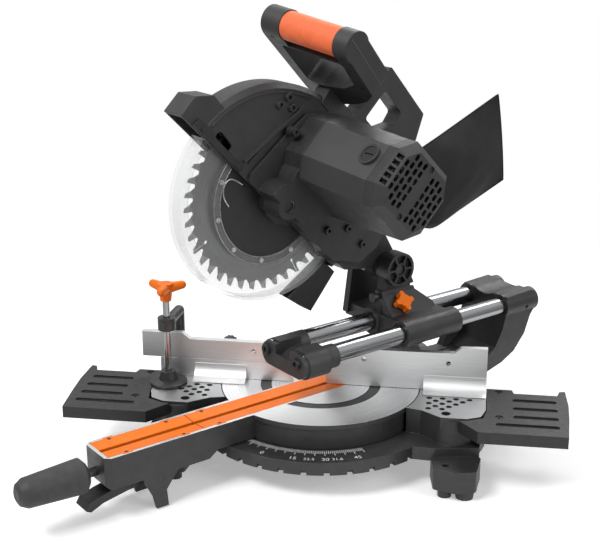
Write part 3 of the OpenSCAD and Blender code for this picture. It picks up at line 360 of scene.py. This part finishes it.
PAINT = casting_paint()
MOULDED = moulded_plastic()
BLACK = black_plastic()
RUBBER = black_rubber()
ORANGE = orange_plastic()
GRIP = orange_rubber()
FENCE = machined_aluminium("fence_aluminium")
TABLE = turned_aluminium()
SIDE_TABLE = cast_table()
STEEL = plain_steel()
DARK_STEEL = dark_steel()
GROUND = ground_steel()
PLATE = blade_plate()
CARBIDE = carbide()
CLEAR = clear_plastic()
CLOTH = bag_cloth()
SEAM_HIGHLIGHT = seam_highlight()
WHITE = scale_white()

# Dressing of the CAD nodes

LOOKS = {
    "base_casting": PAINT,
    "turntable": PAINT,
    "rear_housing": PAINT,
    "carriage": PAINT,
    "gear_case": PAINT,
    "upper_guard": MOULDED,
    "motor_housing": MOULDED,
    "motor_cap": MOULDED,
    "handle_frame": MOULDED,
    "carry_handle": MOULDED,
    "rail_cap": MOULDED,
    "right_fence": FENCE,
    "left_fence": FENCE,
    "sliding_fence": FENCE,
    "rubber_feet": RUBBER,
    "lock_grip": RUBBER,
    "grip_sleeve": GRIP,
    "front_insert": ORANGE,
    "rear_insert": ORANGE,
    "miter_pointer": ORANGE,
    "slide_knob": ORANGE,
    "trigger": ORANGE,
    "rails": GROUND,
    "clamp_rod": GROUND,
    "blade": PLATE,
    "lower_guard": CLEAR,
    "dust_bag": CLOTH,
    "clamp_post": DARK_STEEL,
    "clamp_pad": DARK_STEEL,
    "insert_screws": DARK_STEEL,
    "cap_screws": DARK_STEEL,
    "arbor_bolt": DARK_STEEL,
    "wing_screws": DARK_STEEL,
    "lever_pin": DARK_STEEL,
    "rail_bushes": DARK_STEEL,
    "case_screws": DARK_STEEL,
    "spindle": DARK_STEEL,
    "depth_stop": DARK_STEEL,
    "pivot_shaft": DARK_STEEL,
    "lock_rod": DARK_STEEL,
}
PLASTIC_NODES = ["left_wing", "right_wing", "detent_lever", "bevel_lever", "fence_knob",
                 "guard_hub", "guard_strip", "dust_chute", "dust_duct", "brush_caps"]


def dress(node, material):
    mesh = nodes[node].data
    mesh.materials.clear()
    mesh.materials.append(material)


def dress_faces(node, material, chosen):
    """Gives the faces that chosen(middle, normal) picks a second material."""
    mesh = nodes[node].data
    mesh.materials.append(material)
    index = len(mesh.materials) - 1
    for face in mesh.polygons:
        if chosen(face.center, face.normal):
            face.material_index = index


CLAMP_KNOB_HIGH = 26 * MM
TOOTH_TIP_FROM = 118 * MM


def table_top(middle, normal):
    return normal.z > 0.9 and middle.z > TABLE_Z - 0.3 * MM


def tooth_tip(middle, normal):
    return (middle - BLADE).length > TOOTH_TIP_FROM


def dress_nodes():
    for node in nodes:
        dress(node, LOOKS.get(node, BLACK if node in PLASTIC_NODES else STEEL))
    dress_faces("base_casting", SIDE_TABLE, table_top)
    dress_faces("turntable", TABLE, table_top)
    knob_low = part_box("clamp_rod")[1].z - CLAMP_KNOB_HIGH
    dress_faces("clamp_rod", ORANGE, lambda middle, normal: middle.z > knob_low)
    dress_faces("blade", CARBIDE, tooth_tip)


dress_nodes()

# Pieces added to the frame


def mesh_piece(name, points, faces, material, body):
    mesh = bpy.data.meshes.new(name)
    mesh.from_pydata(points, [], faces)
    mesh.update()
    mesh.materials.append(material)
    piece = bpy.data.objects.new(name, mesh)
    bpy.context.scene.collection.objects.link(piece)
    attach(piece, body)
    return piece


# Mitre scale on the rim of the base

SCALE_TOP = 58 * MM
SCALE_ZERO = math.radians(20.5)
SCALE_DEGREES = range(-15, 51)
TICK_IN = 146 * MM
TICK_LIFT = 0.15 * MM
TICK_HALF = 0.4 * MM
LONG_TICK = 14 * MM
SHORT_TICK = 8 * MM
LONG_EVERY = 5
NUMBER_RADIUS = 171 * MM
# Shown number, the degree it stands at and its height in mm
SCALE_NUMBERS = (("0", 0, 11), ("15", 15, 11), ("22.5", 22.5, 9), ("30", 30, 11),
                 ("31.6", 35.5, 9), ("45", 45, 11))


def rim_point(angle, radius, lift):
    """A point on the scale rim, with the angle counted from the scale's zero to the right."""
    turn = angle - SCALE_ZERO
    return Vector((math.sin(turn) * radius, -math.cos(turn) * radius, SCALE_TOP + lift))


def scale_ticks():
    points = []
    faces = []
    for degree in SCALE_DEGREES:
        angle = math.radians(degree)
        length = SHORT_TICK if degree % LONG_EVERY else LONG_TICK
        half = TICK_HALF / TICK_IN
        outer = TICK_IN + length
        start = len(points)
        for side, radius in ((-1, TICK_IN), (1, TICK_IN), (1, outer), (-1, outer)):
            points.append(rim_point(angle + side * half, radius, TICK_LIFT))
        faces.append(tuple(range(start, start + 4)))
    mesh_piece("scale_ticks", points, faces, WHITE, "base")


def scale_number(text, degree, height):
    curve = bpy.data.curves.new("scale_number", "FONT")
    curve.body = text
    curve.size = height * MM
    curve.align_x = "CENTER"
    curve.align_y = "CENTER"
    number = bpy.data.objects.new("scale_number_" + text.replace(".", "_"), curve)
    bpy.context.scene.collection.objects.link(number)
    angle = math.radians(degree)
    number.location = rim_point(angle, NUMBER_RADIUS, TICK_LIFT)
    number.rotation_euler = (0, 0, angle - SCALE_ZERO)
    curve.materials.append(WHITE)
    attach(number, "base")


def scale_numbers():
    for text, degree, height in SCALE_NUMBERS:
        scale_number(text, degree, height)


scale_ticks()
scale_numbers()

# Dust bag: a lofted shell between a top and a low seam, drawn in mm in the head's own directions

BAG_ACROSS = -3
BAG_TOP = ((42, 121), (71, 125), (-11, 325))
BAG_LOW = ((14, 87), (-37, 60), (-122, 243))
NECK_SHARE = 0.24
BAG_STEPS = 44
BAG_SIDES = 48
NECK_HALF = 22
HEM_HALF = 2.5
HEM_STEPS = 12
BELLY = 20
FOLD_DEEP = 3.4
DENT_DEEP = 1.3
SEAM_FROM = 6
SEAM_R = 1.3 * MM


def bag_edge(ends, share):
    """A point on the straight edge between the last two ends, which eases in from the neck."""
    neck, start, stop = (Vector(p) for p in ends)
    ease = min(1, share / NECK_SHARE)
    ease = ease * ease * (3 - 2 * ease)
    return neck.lerp(start.lerp(stop, share), ease)


def bag_width(share):
    return NECK_HALF + (HEM_HALF - NECK_HALF) * share + BELLY * math.sin(math.pi * share ** 0.8)


def bag_crease(share, turn):
    """Folds that run from the neck and soft dents in the cloth, in mm."""
    folds = noise.noise(Vector((share * 2.2, math.cos(turn) * 3.2, 4 + math.sin(turn))))
    dents = noise.noise(Vector((share * 7, math.cos(turn) * 7, 9 - math.sin(turn))))
    return (FOLD_DEEP * folds + DENT_DEEP * dents) * math.sin(math.pi * min(1, share * 1.1)) ** 0.5


def bag_point(share, turn):
    top, low = bag_edge(BAG_TOP, share), bag_edge(BAG_LOW, share)
    middle, half = (top + low) / 2, (top - low) / 2
    place = middle + half * math.cos(turn)
    side = math.sin(turn)
    thick = math.copysign(abs(side) ** (1 + 0.8 * share), side)
    across = BAG_ACROSS + bag_width(share) * thick + bag_crease(share, turn) * side
    return head_point(place.x, place.y, across)


def bag_shell():
    turns = [2 * math.pi * k / BAG_SIDES for k in range(BAG_SIDES)]
    points = [bag_point(i / BAG_STEPS, t) for i in range(BAG_STEPS + 1) for t in turns]
    faces = [(i * BAG_SIDES + k, i * BAG_SIDES + (k + 1) % BAG_SIDES,
              (i + 1) * BAG_SIDES + (k + 1) % BAG_SIDES, (i + 1) * BAG_SIDES + k)
             for i in range(BAG_STEPS) for k in range(BAG_SIDES)]
    last = BAG_STEPS * BAG_SIDES
    faces.append(tuple(reversed(range(BAG_SIDES))))
    faces.append(tuple(range(last, last + BAG_SIDES)))
    shell = mesh_piece("dust_bag_shell", points, faces, CLOTH, "head")
    shell.data.shade_smooth()
    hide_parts("dust_bag")
    return shell


def tube(name, points, radius, material, body, kind="POLY"):
    """A round bar along a row of points, or bent smoothly past them with the kind NURBS."""
    curve = bpy.data.curves.new(name, "CURVE")
    curve.dimensions = "3D"
    curve.bevel_depth = radius
    curve.bevel_resolution = 2
    curve.use_fill_caps = True
    line = curve.splines.new(kind)
    line.points.add(len(points) - 1)
    for spot, place in zip(line.points, points):
        spot.co = (*place, 1)
    line.order_u = 4
    line.use_endpoint_u = True
    curve.materials.append(material)
    bar = bpy.data.objects.new(name, curve)
    bpy.context.scene.collection.objects.link(bar)
    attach(bar, body)
    return bar


def bag_seams():
    shares = [i / BAG_STEPS for i in range(SEAM_FROM, BAG_STEPS + 1)]
    hem = [math.pi * k / HEM_STEPS for k in range(1, HEM_STEPS)]
    line = [bag_point(s, 0) for s in shares] + [bag_point(1, t) for t in hem]
    line += [bag_point(s, math.pi) for s in reversed(shares)]
    tube("bag_seam", line, SEAM_R, CLOTH, "head")


bag_shell()
bag_seams()

# Painted highlights as bright steel lines along the swinging guard's rims, and the spring wire on it

GUARD_FACE = 11.1
RING_EDGES = (78.4, 88)
RING_EDGE_R = 0.35 * MM
RING_DEGREES = range(4, 178, 2)
WIRE_FACE = 9.7
WIRE_R = 1.1 * MM
SPRING_WIRE = ((-12, 50), (-11, 68), (-15, 76), (-26, 78), (-36, 73), (-44, 64))


def guard_point(turn, radius, across):
    """A point about the blade's axis, in mm, with the turn counted from the front of the head."""
    outward = FORWARD * math.cos(turn) + ABOVE * math.sin(turn)
    return BLADE + (outward * radius + ACROSS * across) * MM


def ring_edge_highlights():
    turns = [-math.radians(degree) for degree in RING_DEGREES]
    for radius in RING_EDGES:
        line = [guard_point(t, radius, GUARD_FACE) for t in turns]
        # Steel lines paint the highlights along the clear guard's rims.
        tube("guard_ring_highlight_%g" % radius, line, RING_EDGE_R, STEEL, "swing_guard")


def spring_wire():
    line = [guard_point(math.radians(t), radius, WIRE_FACE) for t, radius in SPRING_WIRE]
    tube("spring_wire", line, WIRE_R, STEEL, "swing_guard", "NURBS")


ring_edge_highlights()
spring_wire()

# Parting line round the right end of the main handle, in mm in the grip's own directions

GRIP_PLACE = (357.2, 134, 54.2)
GRIP_TURN = math.radians(12)
PARTING_R = 0.4 * MM
PARTING_LINE = ((68, -20.5), (72.2, -16), (72.2, 74), (70, 79), (52.2, 98.2), (24, 117.2))


def grip_point(along, rear, above=0.0):
    """A point in the grip's frame: along the grip to the right, to the rear and above it."""
    forward = GRIP_PLACE[0] - along * math.sin(GRIP_TURN) - rear * math.cos(GRIP_TURN)
    across = GRIP_PLACE[2] + along * math.cos(GRIP_TURN) - rear * math.sin(GRIP_TURN)
    return head_point(forward, GRIP_PLACE[1] + above, across)


def parting_line():
    line = [grip_point(along, rear) for along, rear in PARTING_LINE]
    # The lighter grey tube paints a highlight along the handle's parting line.
    tube("handle_parting_line", line, PARTING_R, SEAM_HIGHLIGHT, "head")


parting_line()

# Camera, light and floor

LENS_PX = 1198.5
SENSOR = 36
CAMERA_PLACE = Vector((202.2, -1608.6, 798.1)) * MM
CAMERA_YAW = math.radians(8.236)
CAMERA_PITCH = math.radians(18.306)
FLOOR_HALF = 4
FLOOR_LIFT = 0.35
FADE_FROM = 0.55
FADE_TO = 1.1
LIT_PLACE = (0, 0, 0.25)
AMBIENT = 0.24
ROOM_DIM = 0.4
ROOM_DIM_BELOW = 0.05
ROOM_WHITE_ABOVE = 0.6
SEEN_RAYS = ("Is Camera Ray", "Is Glossy Ray", "Is Transmission Ray")


def photo_camera():
    data = bpy.data.cameras.new("photo_camera")
    data.sensor_width = SENSOR
    data.lens = LENS_PX * SENSOR / IMAGE_W
    data.clip_end = 50
    camera = bpy.data.objects.new("photo_camera", data)
    level = Vector((-math.sin(CAMERA_YAW), math.cos(CAMERA_YAW), 0))
    look = level * math.cos(CAMERA_PITCH) - UP * math.sin(CAMERA_PITCH)
    camera.location = CAMERA_PLACE
    camera.rotation_mode = "QUATERNION"
    camera.rotation_quaternion = look.to_track_quat("-Z", "Y")
    bpy.context.scene.collection.objects.link(camera)
    bpy.context.scene.camera = camera


def area_light(name, place, target, size, power):
    data = bpy.data.lights.new(name, "AREA")
    data.shape = "RECTANGLE"
    data.size, data.size_y = size
    data.energy = power
    light = bpy.data.objects.new(name, data)
    light.location = place
    light.rotation_mode = "QUATERNION"
    light.rotation_quaternion = (Vector(target) - Vector(place)).to_track_quat("-Z", "Y")
    bpy.context.scene.collection.objects.link(light)


def ray_kind(tree, rays):
    """1 for the named kinds of ray."""
    path = tree.nodes.new("ShaderNodeLightPath")
    total = path.outputs[rays[0]]
    for ray in rays[1:]:
        most = tree.nodes.new("ShaderNodeMath")
        most.operation = "MAXIMUM"
        tree.links.new(total, most.inputs[0])
        tree.links.new(path.outputs[ray], most.inputs[1])
        total = most.outputs["Value"]
    return total


def room_shade(tree):
    """Brightness that mirrors see: dim near the horizon and white overhead."""
    split = tree.nodes.new("ShaderNodeSeparateXYZ")
    tree.links.new(tree.nodes.new("ShaderNodeTexCoord").outputs["Generated"], split.inputs["Vector"])
    shade = tree.nodes.new("ShaderNodeMapRange")
    shade.interpolation_type = "SMOOTHSTEP"
    shade.inputs["From Min"].default_value = ROOM_DIM_BELOW
    shade.inputs["From Max"].default_value = ROOM_WHITE_ABOVE
    shade.inputs["To Min"].default_value = ROOM_DIM
    tree.links.new(split.outputs["Z"], shade.inputs["Value"])
    return shade.outputs["Result"]


def blend(tree, share, low, high):
    """A number between two values or outputs."""
    mix = tree.nodes.new("ShaderNodeMix")
    tree.links.new(share, mix.inputs["Factor"])
    for socket, value in ((mix.inputs["A"], low), (mix.inputs["B"], high)):
        if isinstance(value, float):
            socket.default_value = value
        else:
            tree.links.new(value, socket)
    return mix.outputs["Result"]


def studio_world():
    world = bpy.data.worlds.new("studio")
    world.use_nodes = True
    tree = world.node_tree
    background = tree.nodes["Background"]
    background.inputs["Color"].default_value = (1, 1, 1, 1)
    mirrored = blend(tree, ray_kind(tree, ["Is Glossy Ray"]), AMBIENT, room_shade(tree))
    strength = blend(tree, ray_kind(tree, ["Is Camera Ray", "Is Transmission Ray"]), mirrored, 1.0)
    tree.links.new(strength, background.inputs["Strength"])
    bpy.context.scene.world = world


def fade_floor(s):
    """Fades the floor into the white backdrop and lifts it to white for the eye."""
    away = s.radius(Vector((0, 0, 0)), UP)
    s.link(s.ranged(away, 1, 0, FADE_FROM, FADE_TO), s.bsdf.inputs["Alpha"])
    s.bsdf.inputs["Emission Color"].default_value = (1, 1, 1, 1)
    lift = s.tree.nodes.new("ShaderNodeMath")
    lift.operation = "MULTIPLY"
    lift.inputs[1].default_value = FLOOR_LIFT
    s.link(ray_kind(s.tree, SEEN_RAYS), lift.inputs[0])
    s.link(lift.outputs["Value"], s.bsdf.inputs["Emission Strength"])


def studio_floor():
    mesh = bpy.data.meshes.new("floor")
    corners = [(x * FLOOR_HALF, y * FLOOR_HALF, 0) for x, y in ((-1, -1), (1, -1), (1, 1), (-1, 1))]
    mesh.from_pydata(corners, [], [(0, 1, 2, 3)])
    s = Shader("floor_white", (0.93, 0.93, 0.93), 0.9)
    s.bsdf.inputs["Specular IOR Level"].default_value = 0.0
    fade_floor(s)
    mesh.materials.append(s.material)
    floor = bpy.data.objects.new("floor", mesh)
    bpy.context.scene.collection.objects.link(floor)


def studio():
    bpy.context.scene.view_settings.view_transform = "Standard"
    photo_camera()
    studio_world()
    studio_floor()
    area_light("key", (-1.2, -1.5, 2.5), LIT_PLACE, (1.2, 0.9), 58)
    area_light("fill", (1.9, -1.2, 1.3), LIT_PLACE, (1.2, 1.2), 18)
    area_light("rim", (0.6, 1.6, 2.2), LIT_PLACE, (1.6, 0.9), 34)


studio()
